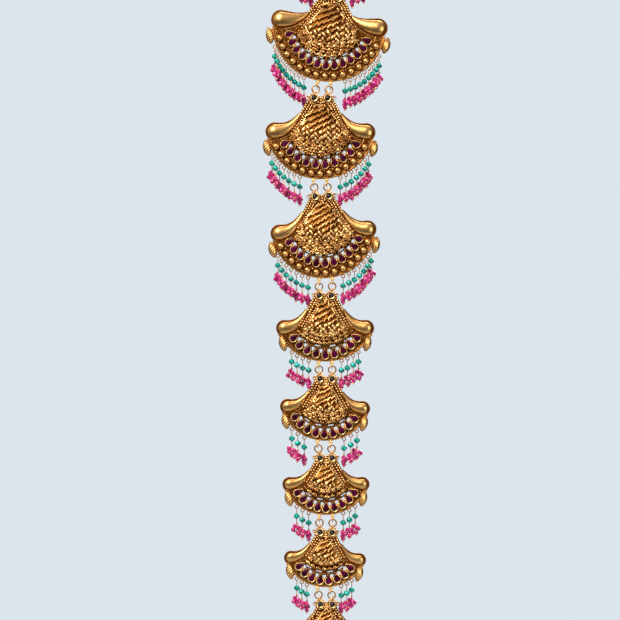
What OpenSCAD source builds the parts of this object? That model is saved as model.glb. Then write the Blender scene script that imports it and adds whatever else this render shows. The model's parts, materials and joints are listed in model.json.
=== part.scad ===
// Braid ornament: a chain of fan-shaped gold plaques, set with rubies and fringed with bead drops,
// that hangs down the back of a long braid from one wire loop in the hair.
// Each plaque is drawn on paper, X to the right, Y up and Z toward the viewer, from a point midway
// between its two round stones, and is then stood up so that its front faces -Y.

/* [Plate] */
// Thickness of each plaque's backing plate
plate_t = 0.8; // [0.7:0.1:1.1]
// Width of the raised rim round the curved edge
rim_w = 1.1; // [0.8:0.05:1.2]
// Width of plate that shows round each shoulder lobe
lobe_margin = 1; // [0.7:0.1:1.2]

/* [Body] */
// Height of the domed body over the plaque's width
dome_rise = 0.125; // [0.1:0.005:0.14]
// How far the cast scales stand up
scale_relief = 0.8; // [0.3:0.05:0.9]
// Thickness of the hollow body's wall
dome_wall = 1.2; // [1:0.1:1.4]
// Height of a shoulder lobe over its half-width
lobe_rise = 0.62; // [0.5:0.02:0.75]

/* [Stones] */
// Radius of a pear stone's round end
pear_r = 1.3; // [1.2:0.05:1.35]
// Distance from the centre of the round end to the point
pear_tip = 2.7; // [2.5:0.1:2.8]
// Thickness of the metal round a pear stone
bezel_wall = 0.3; // [0.25:0.05:0.35]
// Radius of a round stone
cabochon_r = 1.2; // [1.1:0.05:1.25]
// Radius of a gold ball in the row along the edge
ball_r = 1.6; // [1.4:0.05:1.6]

/* [Links] */
// Radius of a jump ring, to the middle of its wire
ring_r = 1.85; // [1.8:0.05:1.9]
// Radius of a jump ring's wire
ring_wire = 0.35; // [0.3:0.01:0.38]
// Radius of the eyes that the jump rings pass through, to the middle of the wire
eye_r = 1.15; // [1.1:0.01:1.2]
// Radius of the wire of those eyes
eye_wire = 0.35; // [0.3:0.01:0.38]

/* [Drops] */
// Radius of a small edge ring, to the middle of its wire
edge_ring_r = 0.85; // [0.8:0.01:0.9]
// Half the width of an edge ring's wire
edge_ring_wire = 0.18; // [0.15:0.01:0.2]
// Radius of a bead on a drop
bead_r = 1.15; // [1:0.05:1.15]
// Distance from a drop's eye down to its green bead
green_at = 3.9; // [3.7:0.1:4.2]
// Distance from a drop's eye down to its pink beads
pink_at = 11.3; // [10.5:0.1:11.5]

/* [Hair loop] */
// Half-width of the wire loop, to the middle of its wire
loop_r = 5; // [4.5:0.1:6]
// Height of the loop's straight sides
loop_side = 6; // [5:0.5:10]
// Radius of the loop's wire
loop_wire = 0.7; // [0.6:0.05:0.8]

/* [Hidden] */
$fn = 48;

// Columns of the plaque table. Spread, end, pitch and roll are in degrees, the rest in millimetres.
WIDTH = 0;
HEIGHT = 1;
ARC = 2;
STONES = 3;
SPREAD = 4;
BALLS = 5;
DROPS = 6;
DROP_END = 7;
DROP_PITCH = 8;
ROLL = 9;
LEAN = 10;
PLAQUES = [
    // width, height, arc, stones, spread, balls, drops, end, pitch, roll, lean
    [60.0, 43.0, 29.30, 13, 68.0, 15, 9, 64.0, 5.5,  0.0,  0.0],
    [58.5, 42.0, 28.55, 13, 68.0, 15, 9, 63.0, 5.3, -5.0,  0.0],
    [55.0, 40.5, 27.65, 10, 60.5, 13, 7, 58.0, 6.2, -0.5, -1.6],
    [53.0, 41.0, 26.35, 11, 65.0, 13, 7, 59.0, 6.7,  2.7,  0.9],
    [49.0, 33.0, 27.20,  9, 42.5,  0, 4, 36.5, 6.5,  0.0, -0.4],
    [45.0, 31.0, 23.70,  9, 47.5,  0, 3, 41.5, 8.8, -1.7,  0.4],
    [43.5, 28.5, 23.45,  9, 45.0,  0, 3, 37.0, 8.1,  0.0,  1.0],
    [41.0, 27.5, 22.20,  8, 44.5,  0, 3, 36.5, 7.3, -2.0,  0.0],
    [38.0, 26.0, 20.80,  7, 42.0,  0, 3, 35.5, 8.1,  0.0,  1.2],
];

SIDES = [-1, 1];
plate_front = plate_t / 2;
plate_back = -plate_t / 2;

// Heights of the rim, the ridge and the body's edging, and how far each reaches
rim_top = 1;
rim_sink = 0.15;
rim_steps = 24;
ridge_top = 0.85;
ridge_w = 0.45;
ridge_end = 3;
edging_top = 1.5;
edging_out = 0.5;
edging_in = 0.3;
edging_end = [64, 50];
wedge_reach = 1.2;

// Depths below the curved edge, on plaques with balls and on those without
pear_depth = [6.8, 3];
dome_depth = [12.1, 9.5];
slit_depth = [10.9, 7.6];
ball_depth = 2.75;
ridge_depth = 4.5;
ball_z = 1.35;
ball_spread = 2;

// Hanging hardware, from a plaque's own origin
stone_x = 3;
eye_x = 3.3;
bail_up = 2.75;
lug_drop = 2.2;
lug_ball_r = 0.95;
lug_ball_drop = 0.4;
loop_corner = 2;
loop_lug_y = -(loop_side + loop_corner + loop_wire + lug_drop - 0.5);

// Round stones and their bezels
cabochon_bezel_r = 2;
cabochon_bezel_top = 3.3;
cabochon_floor = 2.1;
cabochon_ball_r = 1.65;
stone_gap = 0.1;

// Pear stones: heights of the pocket floor, girdle, table and bezel edge
pear_floor = 1;
pear_girdle = 1.9;
pear_table = 2.7;
pear_bezel_top = 2.3;
pear_table_share = 0.6;
pear_side_share = 0.96;
pear_points = 8;

// Shoulder lobe: its middle line is a quadratic curve from the bulb to the tail
lobe_bulb_share = 0.073;
lobe_tail_share = [0.196, -0.165];
lobe_bend_share = [0.64, 0.04];
lobe_taper = 0.9;
lobe_margin_taper = 0.65;
lobe_drop = 0.8;
lobe_neck_at = 0.9;
lobe_taper_power = 1.6;
lobe_round_steps = [20, 45, 70];
lobe_steps = 6;
lobe_wall = 0.15;
lobe_arch_steps = 6;
end_inset = 0.9;

// Domed body, in rays from a point under the round stones
dome_apex = -1;
dome_start = 3;
dome_half_angle = 45;
dome_edge_h = 1.1;
dome_peak_at = 0.6;
hollow_half_angle = 42;
hollow_steps = [8, 6];
scale_cells = [5, 4];
scale_cells_across = 4;
scale_cells_along = 3;

// Neck, and the two rows of grains down each side of it
neck_mid_share = [0.14, -0.068];
grain_r = 0.7;
grain_z = 0.85;
grain_pitch = 1.6;
grain_start = [4.8, -1.5];
grain_end = [-1, 0.6];

// Side leaves: how far outside the edge they sit, and their slope
leaf_half_length = 4.2;
leaf_half_width = 1.9;
leaf_dome_r = 5.2;
leaf_dome_sink = 2.9;
leaf_out = 0.7;
leaf_slope = 78;

// Drops: radii of the wire and eye, and the lean that keeps neighbours apart
drop_wire = 0.15;
drop_eye_r = 0.5;
drop_eye_wire = 0.13;
drop_lean = 10;
bead_half = 1.15;
bead_end_r = 0.75;
tip_r = 0.4;

// Pierced gaps in the plate
gap_r = 0.6;
gap_in = 2.1;
slit = [2.6, 0.6];
slit_angles = [-33, -11, 11, 33];

// Sizes that follow from a plaque's row
function turned(a, v) = [v.x * cos(a) - v.y * sin(a), v.x * sin(a) + v.y * cos(a)];
function polar(r, a) = [r * sin(a), -r * cos(a)];
function has_balls(p) = p[BALLS] > 0;
function arc_y(p) = p[ARC] - p[HEIGHT];
function end_x(p) = p[WIDTH] / 2 - end_inset;
function end_angle(p) = asin(end_x(p) / p[ARC]);
function end_point(p) = [0, arc_y(p)] + polar(p[ARC], end_angle(p));
function by_size(p, pair) = has_balls(p) ? pair[0] : pair[1];
function pear_ring(p) = p[ARC] - by_size(p, pear_depth);
function dome_ring(p) = p[ARC] - by_size(p, dome_depth);
function slit_ring(p) = p[ARC] - by_size(p, slit_depth);
function ridge_ring(p) = p[ARC] - ridge_depth;
function spaced(i, n, half) = n < 2 ? 0 : -half + 2 * half * i / (n - 1);

// Where each plaque hangs, in the ornament's own X and Z. Its rings slant where it hangs off centre.
function hang_mid(k) =
    k == 0 ? [0, loop_lug_y] : plaque_at(k - 1) + turned(PLAQUES[k - 1][ROLL],
                                                         [0, -PLAQUES[k - 1][HEIGHT] - lug_drop]);
function ring_fall(p) = sqrt(pow(2 * ring_r, 2) - pow(p[LEAN], 2));
function plaque_at(k) = hang_mid(k) + [PLAQUES[k][LEAN], -ring_fall(PLAQUES[k]) - bail_up];
function hang_eye(k, side) =
    hang_mid(k) + turned(k == 0 ? 0 : PLAQUES[k - 1][ROLL], [side * eye_x, 0]);
function bail_eye(k, side) = plaque_at(k) + turned(PLAQUES[k][ROLL], [side * eye_x, bail_up]);

// Stands a paper drawing up, with its front to -Y
module upright() rotate([90, 0, 0]) children();

// Puts plaque k where it hangs
module hung(k) {
    at = plaque_at(k);
    upright() translate([at.x, at.y, 0]) rotate(PLAQUES[k][ROLL]) children();
}

// A flat shape from one height to another
module slab(low, high) translate([0, 0, low]) linear_extrude(high - low) children();

// A ring whose hole is seen edge-on from the front
module eye(r, wire) rotate([0, 90, 0]) rotate_extrude() translate([r, 0]) circle(wire);

// Flat band along the plaque's arc, from one radius in to another, out to an angle on both sides
module arc_band(p, outer, inner, half)
    translate([0, arc_y(p)]) intersection() {
        difference() {
            circle(outer);
            circle(inner);
        }
        polygon([[0, 0], for (a = [-half:half / 4:half]) polar(outer * wedge_reach, a)]);
    }

// Puts children on the arc, each with its own +Y toward the arc's centre
module on_arc(p, r, angle) translate([0, arc_y(p), 0]) rotate(angle) translate([0, -r, 0]) children();

// Shoulder lobe on the left side, inside a margin of plate that narrows toward its tail
function bulb_out(p) = lobe_bulb_share * p[WIDTH];
function bulb_r(p) = bulb_out(p) - lobe_margin;
function bulb(p) = [bulb_out(p) - p[WIDTH] / 2, end_point(p).y + bulb_out(p) - lobe_drop];
function margin_at(t) = lobe_margin * (1 - lobe_margin_taper * t);
function tail(p) = [-lobe_tail_share.x * p[WIDTH], lobe_tail_share.y * p[WIDTH]];
function bend(p) = let (d = tail(p) - bulb(p))
    bulb(p) + [lobe_bend_share.x * d.x, lobe_bend_share.y * d.y];
function lobe_mid(p, t) =
    (1 - t) * (1 - t) * bulb(p) + 2 * t * (1 - t) * bend(p) + t * t * tail(p);
function lobe_along(p, t) = let (v = (1 - t) * (bend(p) - bulb(p)) + t * (tail(p) - bend(p)))
    v / norm(v);
function lobe_half(p, t) = bulb_r(p) * (1 - lobe_taper * pow(t, lobe_taper_power));

// Stations from the bulb's round end to the tail: middle, direction and half-width
function lobe_stations(p) = [
    for (a = lobe_round_steps)
        [bulb(p) - lobe_along(p, 0) * bulb_r(p) * cos(a), lobe_along(p, 0), bulb_r(p) * sin(a)],
    for (i = [0:lobe_steps])
        let (t = i / lobe_steps) [lobe_mid(p, t), lobe_along(p, t), lobe_half(p, t)]
];
function lobe_ring(s) = let (side = [-s[1].y, s[1].x], foot = s[0] + side * s[2], far = s[0] - side * s[2])
    [
        [foot.x, foot.y, 0],
        for (j = [0:lobe_arch_steps])
            let (a = 180 * j / lobe_arch_steps, q = s[0] + side * s[2] * cos(a))
                [q.x, q.y, plate_front + lobe_wall + lobe_rise * s[2] * sin(a)],
        [far.x, far.y, 0]
    ];

module lobe(p) {
    rings = [for (s = lobe_stations(p)) lobe_ring(s)];
    n = len(rings);
    m = len(rings[0]);
    polyhedron(
        [for (r = rings) each r],
        [
            [for (j = [0:m - 1]) j],
            [for (j = [m - 1:-1:0]) (n - 1) * m + j],
            for (i = [0:n - 2], j = [0:m - 1])
                let (a = i * m + j, b = i * m + (j + 1) % m) each [[a, a + m, b + m], [a, b + m, b]]
        ]
    );
}

module lobe_base(p) {
    stations = [for (i = [0:lobe_steps]) i / lobe_steps];
    edge = [for (t = stations) let (v = lobe_along(p, t))
        lobe_mid(p, t) + [-v.y, v.x] * (lobe_half(p, t) + margin_at(t))];
    back = [for (t = stations) let (v = lobe_along(p, 1 - t))
        lobe_mid(p, 1 - t) - [-v.y, v.x] * (lobe_half(p, 1 - t) + margin_at(1 - t))];
    start = lobe_along(p, 0);
    round_end = [for (a = [15:15:165])
        bulb(p) + turned(-90 - a, start) * bulb_out(p)];
    polygon(concat(edge, back, round_end));
}

// Backing plate between the lobes, from the neck down to the wire round the edge
module plate_shape(p) {
    w = p[WIDTH];
    neck = [[stone_x + 1, 0.5], neck_mid_share * w];
    lobe_line = [for (t = [lobe_neck_at, 0.5, 0]) let (q = lobe_mid(p, t)) [-q.x, q.y]];
    half = end_angle(p);
    edge = [for (i = [0:rim_steps])
        [0, arc_y(p)] + polar(p[ARC] - rim_w / 2, half - 2 * half * i / rim_steps)];
    upper = concat(neck, lobe_line);
    mirrored = [for (i = [len(upper) - 1:-1:0]) [-upper[i].x, upper[i].y]];
    polygon(concat(upper, edge, mirrored));
}

// Domed body: a grid of rays and rows with rounded scales, or its smooth hollow
function dome_reach(p, a, ring) = let (drop = dome_apex - arc_y(p))
    drop * cos(a) + sqrt(ring * ring - drop * drop * pow(sin(a), 2));
function dome_profile(v) = v < dome_peak_at ? 0.3 + 0.7 * sin(90 * v / dome_peak_at)
    : cos(83 * (v - dome_peak_at) / (1 - dome_peak_at));
function dome_across(u) = 0.15 + 0.85 * sqrt(max(0, 1 - pow(abs(u), 2.4)));
function dome_h(p, u, v) =
    dome_edge_h + (dome_rise * p[WIDTH] - dome_edge_h) * dome_profile(v) * dome_across(u);

// Height of the scale at a grid point: fullest at the middle of a cell, stepped at its lower edge
function scale_h(i, j, nu, nv) = i == 0 || i == nu || j == 0 || j == nv ? 0
    : let (row = floor(j / scale_cells_along), shift = row % 2 * scale_cells_across / 2,
           across = abs(sin(180 * (i + shift) / scale_cells_across)),
           along = (j % scale_cells_along + 1) / scale_cells_along)
        scale_relief * across * along;

module dome_body(p, nu, nv, inset, foot, scales) {
    half = scales ? dome_half_angle : hollow_half_angle;
    start = dome_start + 2 * inset;
    top = [for (i = [0:nu], j = [0:nv])
        let (u = 2 * i / nu - 1, v = j / nv, a = half * u,
             reach = dome_reach(p, a, dome_ring(p) - inset),
             q = [0, dome_apex] + polar(start + (reach - start) * v, a))
            [q.x, q.y, dome_h(p, u, v) - inset + (scales ? scale_h(i, j, nu, nv) : 0)]];
    w = nv + 1;
    base = len(top);
    foot_points = [for (i = [0:nu], j = [0, nv]) let (q = top[i * w + j]) [q.x, q.y, foot]];
    polyhedron(
        concat(top, foot_points),
        [
            for (i = [0:nu - 1], j = [0:nv - 1])
                let (a = i * w + j) each [[a, a + w + 1, a + 1], [a, a + w, a + w + 1]],
            for (i = [0:nu - 1])
                let (a = base + 2 * i) each [[a, a + 3, a + 2], [a, a + 1, a + 3]],
            for (i = [0:nu - 1])
                let (a = base + 2 * i, t = i * w) each [[a, t + w, t], [a, a + 2, t + w]],
            for (i = [0:nu - 1])
                let (a = base + 2 * i + 1, t = i * w + nv) each [[a, t + w, a + 2], [a, t, t + w]],
            for (j = [0:nv - 1]) [base, j, j + 1],
            [base, nv, base + 1],
            for (j = [0:nv - 1]) [base + 2 * nu, nu * w + j + 1, nu * w + j],
            [base + 2 * nu, base + 2 * nu + 1, nu * w + nv]
        ]
    );
}

// Pear outline with its point to +Y, grown by an amount all round; the straight sides start
// just inside the round end
module pear_shape(grow) {
    r = pear_r + grow;
    tip = pear_tip * r / pear_r;
    side = pear_side_share * r;
    a = acos(side / tip);
    circle(r);
    polygon([[0, 0], [side * sin(a), side * cos(a)], [0, tip], [-side * sin(a), side * cos(a)]]);
}

// Pear-cut stone: a flat back, a girdle and a table, as rings of the same outline
module pear_stone() {
    outline = [[0, pear_tip], for (i = [0:pear_points - 2])
        let (a = 120 + 300 * i / (pear_points - 2)) [pear_r * cos(a), pear_r * sin(a)]];
    n = len(outline);
    rings = [[pear_floor + stone_gap, 1], [pear_girdle, 1], [pear_table, pear_table_share]];
    polyhedron(
        [for (r = rings, q = outline) [q.x * r[1], q.y * r[1], r[0]]],
        [
            [for (i = [0:n - 1]) i],
            [for (i = [n - 1:-1:0]) 2 * n + i],
            for (r = [0:1], i = [0:n - 1])
                let (a = r * n + i, b = r * n + (i + 1) % n) each [[a, a + n, b + n], [a, b + n, b]]
        ]
    );
}

// Rows of grains from beside a round stone to the lobe's tail
module neck_grains(p) {
    from = grain_start;
    to = [-tail(p).x, tail(p).y] + grain_end;
    n = 1 + floor(norm(to - from) / grain_pitch);
    step = (to - from) / (n - 1);
    inward = [step.y, -step.x] * grain_pitch / norm(step);
    for (side = SIDES, row = [0, 1], i = [0:n - 1 - 2 * row]) {
        q = from + step * (i + row / 2) + inward * row;
        translate([side * q.x, q.y, grain_z]) sphere(grain_r);
    }
}

// Ridged leaf that closes each end of the curved edge
module leaf(p) {
    rc = (pow(leaf_half_length, 2) + pow(leaf_half_width, 2)) / (2 * leaf_half_width);
    a = end_angle(p) - asin(leaf_half_length / p[ARC]);
    on_arc(p, p[ARC] + leaf_out, a) rotate(leaf_slope - a) intersection() {
        slab(plate_back, leaf_dome_r) intersection() {
            translate([0, rc - leaf_half_width]) circle(rc);
            translate([0, leaf_half_width - rc]) circle(rc);
        }
        translate([0, 0, -leaf_dome_sink]) sphere(leaf_dome_r);
    }
}

function drop_angle(p, i) = p[DROP_END] - i * p[DROP_PITCH];

module edge_rings(p)
    slab(-edge_ring_wire, edge_ring_wire) difference() {
        drop_points(p) circle(edge_ring_r + edge_ring_wire);
        drop_points(p) circle(edge_ring_r - edge_ring_wire);
    }
module drop_points(p)
    for (side = SIDES, i = [0:p[DROPS] - 1])
        on_arc(p, p[ARC] + edge_ring_r, side * drop_angle(p, i)) children();

// Eyes under the curved edge, that the next pair of jump rings hangs from
module lug(y) {
    translate([0, y + lug_drop - lug_ball_drop, 0]) sphere(lug_ball_r);
    translate([0, y, 0]) eye(eye_r, eye_wire);
}

module pears(p, grow)
    for (i = [0:p[STONES] - 1])
        on_arc(p, pear_ring(p), spaced(i, p[STONES], p[SPREAD])) pear_shape(grow);

// Backing plate with its pierced gaps
module plate(p)
    slab(plate_back, plate_front) difference() {
        union() {
            plate_shape(p);
            for (side = [0, 1]) mirror([side, 0, 0]) lobe_base(p);
        }
        for (i = [0:p[STONES] - 2])
            on_arc(p, pear_ring(p) - gap_in, spaced(i + 0.5, p[STONES], p[SPREAD])) circle(gap_r);
        for (a = slit_angles) on_arc(p, slit_ring(p), a) square(slit, center = true);
    }

module plaque_metal(p) {
    half = end_angle(p);
    large = has_balls(p);
    cells = by_size(p, scale_cells);
    plate(p);
    slab(plate_back - rim_sink, rim_top) arc_band(p, p[ARC], p[ARC] - rim_w, half);
    slab(0, edging_top)
        arc_band(p, dome_ring(p) + edging_out, dome_ring(p) - edging_in, by_size(p, edging_end));
    if (large)
        slab(0, ridge_top) arc_band(p, ridge_ring(p), ridge_ring(p) - ridge_w, half - ridge_end);
    for (side = [0, 1]) mirror([side, 0, 0]) {
        lobe(p);
        leaf(p);
        translate([-stone_x, 0, 0]) slab(0, cabochon_bezel_top) circle(cabochon_bezel_r);
        translate([-eye_x, bail_up, 0]) eye(eye_r, eye_wire);
        if (p != PLAQUES[len(PLAQUES) - 1]) translate([-eye_x, 0, 0]) lug(-p[HEIGHT] - lug_drop);
    }
    dome_body(p, cells * scale_cells_across, cells * scale_cells_along, 0, 0, true);
    slab(0, pear_bezel_top) pears(p, stone_gap + bezel_wall);
    if (large)
        for (i = [0:p[BALLS] - 1])
            on_arc(p, p[ARC] - ball_depth, spaced(i, p[BALLS], p[SPREAD] + ball_spread))
                translate([0, 0, ball_z]) sphere(ball_r);
    neck_grains(p);
    edge_rings(p);
}

module plaque(p)
    color("goldenrod") difference() {
        plaque_metal(p);
        dome_body(p, hollow_steps.x, hollow_steps.y, dome_wall, plate_back - 1, false);
        slab(pear_floor, pear_bezel_top + 1) pears(p, stone_gap);
        for (side = SIDES)
            translate([side * stone_x, 0, 0])
                slab(cabochon_floor, cabochon_bezel_top + 1) circle(cabochon_r + stone_gap);
    }

module stones(p)
    color("darkmagenta") {
        for (i = [0:p[STONES] - 1])
            on_arc(p, pear_ring(p), spaced(i, p[STONES], p[SPREAD])) pear_stone();
        for (side = SIDES)
            translate([side * stone_x, 0, cabochon_floor + stone_gap]) intersection() {
                cylinder(r = cabochon_r, h = cabochon_ball_r);
                sphere(cabochon_ball_r);
            }
    }

// The two jump rings between the eyes above and a plaque's own eyes
module rings(k)
    color("gold") upright() for (side = SIDES) {
        top = hang_eye(k, side);
        foot = bail_eye(k, side);
        mid = (top + foot) / 2;
        translate([mid.x, mid.y, 0]) rotate_extrude() translate([ring_r, 0]) circle(ring_wire);
    }

// One bead drop below the middle of its wire eye
module drop() {
    eye(drop_eye_r, drop_eye_wire);
    rotate([90, 0, 0]) rotate_extrude() polygon([
        [0, drop_eye_r], [drop_wire, drop_eye_r],
        [drop_wire, green_at - bead_half], [bead_end_r, green_at - bead_half],
        [bead_r, green_at - bead_half / 2], [bead_r, green_at + bead_half / 2],
        [bead_end_r, green_at + bead_half], [drop_wire, green_at + bead_half],
        [drop_wire, pink_at - bead_half], [bead_end_r, pink_at - bead_half],
        [bead_r, pink_at - bead_half / 2], [bead_r, pink_at + bead_half / 2],
        [bead_end_r, pink_at + bead_half], [tip_r, pink_at + bead_half],
        [tip_r, pink_at + bead_half + 2 * tip_r], [0, pink_at + bead_half + 2 * tip_r]
    ]);
}

// The drops on one side of a plaque, which hang plumb and lean forward and back by turns
module fringe(p, side)
    color("hotpink") for (i = [0:p[DROPS] - 1]) {
        a = drop_angle(p, i);
        at = [0, arc_y(p)] + polar(p[ARC] + edge_ring_r, side * a)
            + turned(-p[ROLL], [0, -edge_ring_r]);
        translate([at.x, at.y, 0]) rotate(-p[ROLL])
            rotate([(i % 2 == 0 ? 1 : -1) * drop_lean, 0, 0]) drop();
    }

// Plain wire loop in the hair, with two eyes for the first pair of jump rings
module hair_loop()
    color("goldenrod") upright() {
        rotate_extrude(angle = 180) translate([loop_r, 0]) circle(loop_wire);
        for (side = [0, 1]) mirror([side, 0, 0]) {
            translate([loop_r, -loop_side, 0]) rotate([-90, 0, 0]) cylinder(r = loop_wire, h = loop_side);
            translate([loop_r - loop_corner, -loop_side, 0]) rotate(-90)
                rotate_extrude(angle = 90) translate([loop_corner, 0]) circle(loop_wire);
            translate([eye_x, 0, 0]) lug(loop_lug_y);
        }
        translate([-loop_r + loop_corner, -loop_side - loop_corner, 0]) rotate([0, 90, 0])
            cylinder(r = loop_wire, h = 2 * (loop_r - loop_corner));
    }

hair_loop();
for (k = [0:len(PLAQUES) - 1]) {
    p = PLAQUES[k];
    hung(k) plaque(p);
    hung(k) stones(p);
    rings(k);
    hung(k) fringe(p, -1);
    hung(k) fringe(p, 1);
}
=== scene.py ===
import json
import math

import bpy
import numpy as np
from mathutils import Matrix, Vector
from mathutils.geometry import delaunay_2d_cdt


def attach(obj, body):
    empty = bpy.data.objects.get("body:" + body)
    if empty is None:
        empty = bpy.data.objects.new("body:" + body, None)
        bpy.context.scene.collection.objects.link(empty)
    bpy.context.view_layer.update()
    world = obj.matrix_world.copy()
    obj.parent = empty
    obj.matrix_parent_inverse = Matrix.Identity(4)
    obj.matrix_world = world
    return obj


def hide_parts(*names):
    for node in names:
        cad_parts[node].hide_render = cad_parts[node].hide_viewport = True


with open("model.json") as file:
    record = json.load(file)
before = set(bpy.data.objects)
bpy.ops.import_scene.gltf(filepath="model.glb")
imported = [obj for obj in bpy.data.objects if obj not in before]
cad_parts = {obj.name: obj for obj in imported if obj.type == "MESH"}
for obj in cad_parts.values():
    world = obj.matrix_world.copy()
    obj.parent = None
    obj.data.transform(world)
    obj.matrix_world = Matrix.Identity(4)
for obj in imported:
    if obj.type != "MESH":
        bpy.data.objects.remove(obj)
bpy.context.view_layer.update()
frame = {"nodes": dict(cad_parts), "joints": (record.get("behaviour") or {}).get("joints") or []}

# Visual model of the braid ornament. Every gold, stone and bead piece is drawn on paper in
# millimetres (X right, Y up, Z front) round its plaque's own origin between the two round stones,
# and Form.mesh stands it up in metres where the CAD's hinge hangs the plaque. The jump rings and
# the hair loop are the CAD's own, with a new material.

MM = 0.001
ACROSS = (1, 0, 0)
UP = (0, 0, 1)
SIDES = (-1, 1)

# One row a plaque, in millimetres and degrees. The first eleven columns are as in the CAD source;
# the others say how far the inner rings are drawn in, and the circle that the pears stand on.
COLUMNS = "width height arc stones spread balls drops end pitch roll lean inner pear_r pear_half"
TABLE = [
    (60.0, 43.0, 29.30, 13, 68.0, 15, 9, 64.0, 5.5, 0.0, 0.0, 0.9, 21.7, 70.5),
    (58.5, 42.0, 28.55, 13, 68.0, 15, 9, 63.0, 5.3, -5.0, 0.0, 0.9, 21.0, 71.0),
    (55.0, 40.5, 27.65, 10, 60.5, 13, 7, 58.0, 6.2, -0.5, -1.6, 0.0, 20.8, 60.5),
    (53.0, 41.0, 26.35, 11, 65.0, 13, 7, 59.0, 6.7, 2.7, 0.9, 0.3, 19.1, 67.0),
    (49.0, 33.0, 27.20, 9, 42.5, 0, 4, 36.5, 6.5, 0.0, -0.4, 0.0, 19.2, 56.5),
    (45.0, 31.0, 23.70, 9, 47.5, 0, 3, 41.5, 8.8, -1.7, 0.4, 0.0, 17.7, 58.0),
    (43.5, 28.5, 23.45, 9, 45.0, 0, 3, 37.0, 8.1, 0.0, 1.0, 0.0, 16.9, 58.0),
    (41.0, 27.5, 22.20, 8, 44.5, 0, 3, 36.5, 7.3, -2.0, 0.0, 0.0, 15.7, 56.0),
    (38.0, 26.0, 20.80, 7, 42.0, 0, 3, 35.5, 8.1, 0.0, 1.2, 0.0, 14.6, 54.0),
]

# Sizes shared by every plaque, in millimetres and degrees
PLATE_FRONT = 0.4
EDGE_ENDS_IN = 0.9
RIM_W = 1.1
RIM_SECTION = ((0.55, -0.5), (0.58, 0.35), (0.45, 0.8), (0.15, 1.0), (-0.2, 0.98), (-0.48, 0.75),
               (-0.55, 0.3), (-0.5, -0.5))
# Rim's brightness round its section: dark low at the sides, brightest on top; patina and rubbed metal
# with painted shade and a painted highlight
RIM_WEAR_AND_SHADING = (0.15, 0.35, 0.5, 0.6, 0.5, 0.3, 0.1, 0.15)
RIDGE_IN = 4.7
BALLS_IN = 2.75
BALL_R = 1.85
BALL_Z = 1.35
COLLAR = ((2.0, 0.3), (2.05, 0.55), (1.85, 0.8), (1.6, 0.75))
# Collar's brightness: dark at its foot and inner edge, lighter on its rim; patina with painted shade
COLLAR_WEAR_AND_SHADING = (0.0, 0.25, 0.3, 0.0)
EYE_X = 3.3
BAIL_UP = 2.75
LUG_DROP = 2.2
RING_R = 1.85
EYE_R = 1.15
EYE_WIRE = 0.35
EDGE_RING_R = 0.85
EDGE_RING_WIRE = 0.24

# How far inside the curved edge the pears, the dome's edge and the slits are
LARGE_RINGS = (6.8, 12.1, 10.9)
SMALL_RINGS = (3.0, 9.5, 7.6)

PEAR_R = 1.3
PEAR_TIP = 2.7
PEAR_SIZE = 1.09
GAPS_IN = 2.1
SLIT_ANGLES = (-33, -11, 11, 33)
BEZEL_SECTION = ((0.34, 0.3), (0.34, 1.9), (0.24, 2.3), (0.02, 2.5), (-0.2, 2.35), (-0.25, 1.7),
                 (-0.25, 0.9))
# Bezel's brightness: dark at the foot and inside, bright on the rounded rim; patina and rubbed metal
# with painted shade and a painted highlight
BEZEL_WEAR_AND_SHADING = (0.0, 0.4, 0.95, 1.0, 0.95, 0.3, 0.0)
CUP = ((1.75, 0.3), (1.95, 1.2), (2.0, 2.4), (1.92, 3.0), (1.7, 3.3), (1.4, 3.25), (1.2, 3.0),
       (1.15, 2.0))
# Cup's brightness: dark at the foot and inside, bright on the rim; patina and rubbed metal with
# painted shade and a painted highlight
CUP_WEAR_AND_SHADING = (0.0, 0.2, 0.4, 0.7, 0.95, 0.8, 0.3, 0.0)
CUP_GRAINS_R = 2.4
CABOCHON_R = 1.15
CABOCHON_TOP = 3.1

# The dome is a fan round an apex; places on it are u across (-1 to 1) and v down (0 to 1)
DOME_APEX = -1.0
DOME_START = 3.0
DOME_HALF = 45.0
DOME_CREST = 0.6
DOME_EDGE_HEIGHT = 1.1
DOME_TOP = 0.125
DOME_FOOT = 0.2
HOLLOW_HALF = 42.0
HOLLOW_WALL = 1.2
SCALES_END = 0.76
POINTED_FROM = 0.52
FLANK_GRAINS = 0.9
SCALE_DOWN = (0.0, 0.12, 0.26, 0.42, 0.58, 0.74, 0.88, 1.0)
SCALE_ACROSS = (-1.0, -0.8, -0.5, -0.2, 0.1, 0.4, 0.7, 1.0)
SCALE_LIFT = (0.0, 0.75, 1.0, 0.95, 0.75, 0.5, 0.25, 0.0)
# Brightness across a scale follows its lift: bright on the high ridge, dark at the edges; rubbed wear
# with a painted highlight and painted shade
SCALE_WEAR_AND_SHADING = (0.05, 0.85, 1.0, 0.88, 0.6, 0.35, 0.2, 0.05)
PETAL_ACROSS = ((-1, 0), (-0.6, 0.8), (0, 1), (0.6, 0.8), (1, 0))

# Shoulder lobes: reach and tail as shares of the plaque's width, the bend as a share of the way
# from bulb to tail, the margin of plate and the bulb's drop in millimetres, its cap in degrees
LOBE_REACH = 0.084
LOBE_TAIL = (-0.190, -0.146)
LOBE_BEND = (0.64, 0.04)
LOBE_MARGIN = 1.0
BULB_DOWN = 1.1
LOBE_CAP = (8, 20, 32, 45, 58, 74)

# The plate's right side from a cup to the lobe's tail, as shares of the width, and the bent wires
# beside a cup: rise in degrees, length and bow
NECK_SIDE = ((0.142, -0.052), (0.166, -0.1))
SPRIGS = ((28, 2.5, 0.45), (3, 3.0, 0.45), (-20, 2.6, -0.3))

LEAF_HALF_LENGTH = 4.2
LEAF_HALF_WIDTH = 1.9
LEAF_DOME_R = 5.2
LEAF_DOME_SINK = 2.9
LEAF_SLOPE = 78.0

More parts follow.
